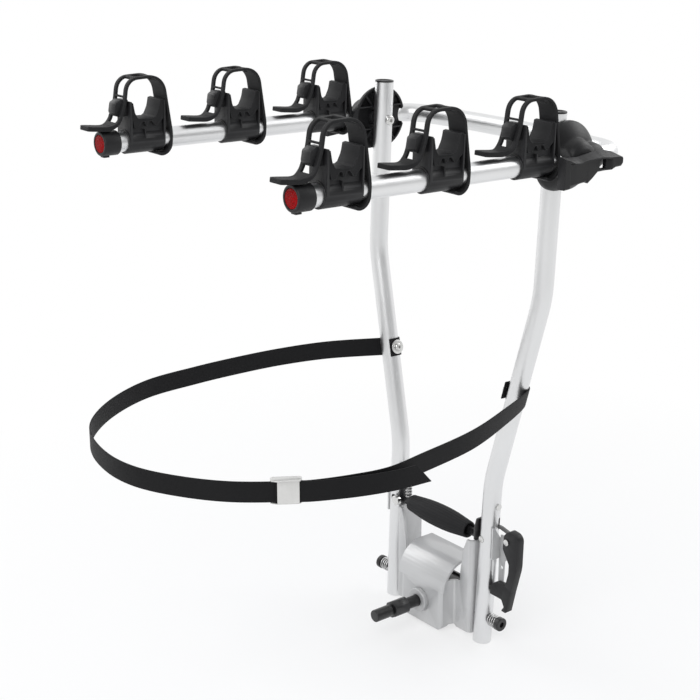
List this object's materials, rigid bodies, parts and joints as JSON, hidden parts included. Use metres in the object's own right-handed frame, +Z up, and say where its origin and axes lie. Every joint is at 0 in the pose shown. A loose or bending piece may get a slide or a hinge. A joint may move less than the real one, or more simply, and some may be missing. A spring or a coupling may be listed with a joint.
{
  "type": "hitch bike rack",
  "caption": "Tow-ball bike rack with two tilting tubular uprights, a fold-down arm loop carrying six strapped cradles, a clamp base and a long safety strap.",
  "frame": {"origin": "centre of the tow ball, midway between the two tilt pins", "axes": "+Z up, -Y the way the arms reach (rearward), +X the side of the latch lever"},
  "size_m": [0.5272, 0.7228, 0.855],
  "materials": {
    "tube": "satin",
    "base_paint": "satin",
    "black_metal": "satin",
    "plastic": "matte",
    "grip": "matte",
    "rubber": "matte",
    "webbing": "matte",
    "reflector": "gloss",
    "steel": "satin"
  },
  "bodies": {
    "base": {"base_plate": "base_paint", "clamp_housing": "black_metal", "rear_jaw": "black_metal", "jaw_bolts": "steel", "screw_bush": "black_metal", "pivot_pins": "steel", "pivot_springs": "steel"},
    "jaw": {"clamp_jaw": "black_metal"},
    "screw": {"clamp_screw": "black_metal"},
    "tilt_frame": {"upright_right": "tube", "upright_left": "tube", "upright_plugs": "plastic", "bracket_right": "base_paint", "bracket_left": "base_paint", "guide_bolts": "steel", "guide_pins": "steel", "spring_seat": "base_paint", "return_spring": "steel", "latch_pin": "steel", "elbow_bolts": "steel", "safety_strap": "webbing", "strap_washers": "steel", "strap_screws": "steel", "strap_buckle": "steel"},
    "cam": {"buckle_cam": "steel"},
    "release": {"release_bar": "black_metal", "hand_grip": "grip", "release_link": "steel"},
    "latch": {"latch_lever": "black_metal"},
    "arms": {"arm_tube": "tube", "end_cap_left": "plastic", "end_cap_right": "plastic", "reflectors": "reflector", "elbow_inner_left": "plastic", "elbow_inner_right": "plastic", "elbow_outer_left": "plastic", "elbow_outer_right": "plastic", "lever_pins": "steel"},
    "lever_right": {"elbow_lever_right": "plastic"},
    "lever_left": {"elbow_lever_left": "plastic"},
    "cradle_right_1": {"cradle_base_right_1": "plastic", "cradle_pad_right_1": "rubber", "cradle_strap_right_1": "rubber"},
    "cradle_right_2": {"cradle_base_right_2": "plastic", "cradle_pad_right_2": "rubber", "cradle_strap_right_2": "rubber"},
    "cradle_right_3": {"cradle_base_right_3": "plastic", "cradle_pad_right_3": "rubber", "cradle_strap_right_3": "rubber"},
    "cradle_left_1": {"cradle_base_left_1": "plastic", "cradle_pad_left_1": "rubber", "cradle_strap_left_1": "rubber"},
    "cradle_left_2": {"cradle_base_left_2": "plastic", "cradle_pad_left_2": "rubber", "cradle_strap_left_2": "rubber"},
    "cradle_left_3": {"cradle_base_left_3": "plastic", "cradle_pad_left_3": "rubber", "cradle_strap_left_3": "rubber"}
  },
  "joints": [
    {"name": "clamp_slide", "type": "slide", "parent": "base", "child": "jaw", "axis": [0, -1, 0], "range_m": [0, 0.0065]},
    {"name": "clamp_turn", "type": "hinge", "parent": "jaw", "child": "screw", "pos_m": [0, -0.08, 0], "axis": [0, -1, 0], "range_deg": [0, 936]},
    {"name": "tilt", "type": "hinge", "parent": "base", "child": "tilt_frame", "pos_m": [0, 0, 0], "axis": [1, 0, 0], "range_deg": [0, 60]},
    {"name": "cam_turn", "type": "hinge", "parent": "tilt_frame", "child": "cam", "pos_m": [0.20587, -0.45186, 0.36397], "axis": [0, 0, 1], "range_deg": [0, 60]},
    {"name": "release_lift", "type": "slide", "parent": "tilt_frame", "child": "release", "axis": [0, 0.0424, 0.9991], "range_m": [0, 0.01], "stiffness_N_per_m": 900, "springref_m": -0.014, "deforming": ["return_spring"]},
    {"name": "latch_swing", "type": "hinge", "parent": "tilt_frame", "child": "latch", "pos_m": [0.151, 0, 0.141], "axis": [0, -1, 0], "range_deg": [0, 25]},
    {"name": "arm_fold", "type": "hinge", "parent": "tilt_frame", "child": "arms", "pos_m": [0, 0.03034, 0.71496], "axis": [1, 0, 0], "range_deg": [0, 90], "deforming": ["safety_strap"]},
    {"name": "lever_right_swing", "type": "hinge", "parent": "arms", "child": "lever_right", "pos_m": [0.2475, -0.01989, 0.70618], "axis": [0, -0.0244, -0.9997], "range_deg": [0, 90]},
    {"name": "lever_left_swing", "type": "hinge", "parent": "arms", "child": "lever_left", "pos_m": [-0.2475, -0.01989, 0.70618], "axis": [0, 0.0244, 0.9997], "range_deg": [0, 90]},
    {"name": "cradle_right_1_turn", "type": "hinge", "parent": "arms", "child": "cradle_right_1", "pos_m": [0.216, -0.37194, 0.72479], "axis": [0, 0.9997, -0.0244], "range_deg": [-20, 20]},
    {"name": "cradle_right_2_turn", "type": "hinge", "parent": "arms", "child": "cradle_right_2", "pos_m": [0.216, -0.21199, 0.72088], "axis": [0, 0.9997, -0.0244], "range_deg": [-20, 20]},
    {"name": "cradle_right_3_turn", "type": "hinge", "parent": "arms", "child": "cradle_right_3", "pos_m": [0.216, -0.05203, 0.71697], "axis": [0, 0.9997, -0.0244], "range_deg": [-20, 20]},
    {"name": "cradle_left_1_turn", "type": "hinge", "parent": "arms", "child": "cradle_left_1", "pos_m": [-0.216, -0.37194, 0.72479], "axis": [0, 0.9997, -0.0244], "range_deg": [-20, 20]},
    {"name": "cradle_left_2_turn", "type": "hinge", "parent": "arms", "child": "cradle_left_2", "pos_m": [-0.216, -0.21199, 0.72088], "axis": [0, 0.9997, -0.0244], "range_deg": [-20, 20]},
    {"name": "cradle_left_3_turn", "type": "hinge", "parent": "arms", "child": "cradle_left_3", "pos_m": [-0.216, -0.05203, 0.71697], "axis": [0, 0.9997, -0.0244], "range_deg": [-20, 20]}
  ],
  "couplings": [
    {"joint": "clamp_turn", "follows": "clamp_slide", "rad_per_m": 2513.3}
  ]
}
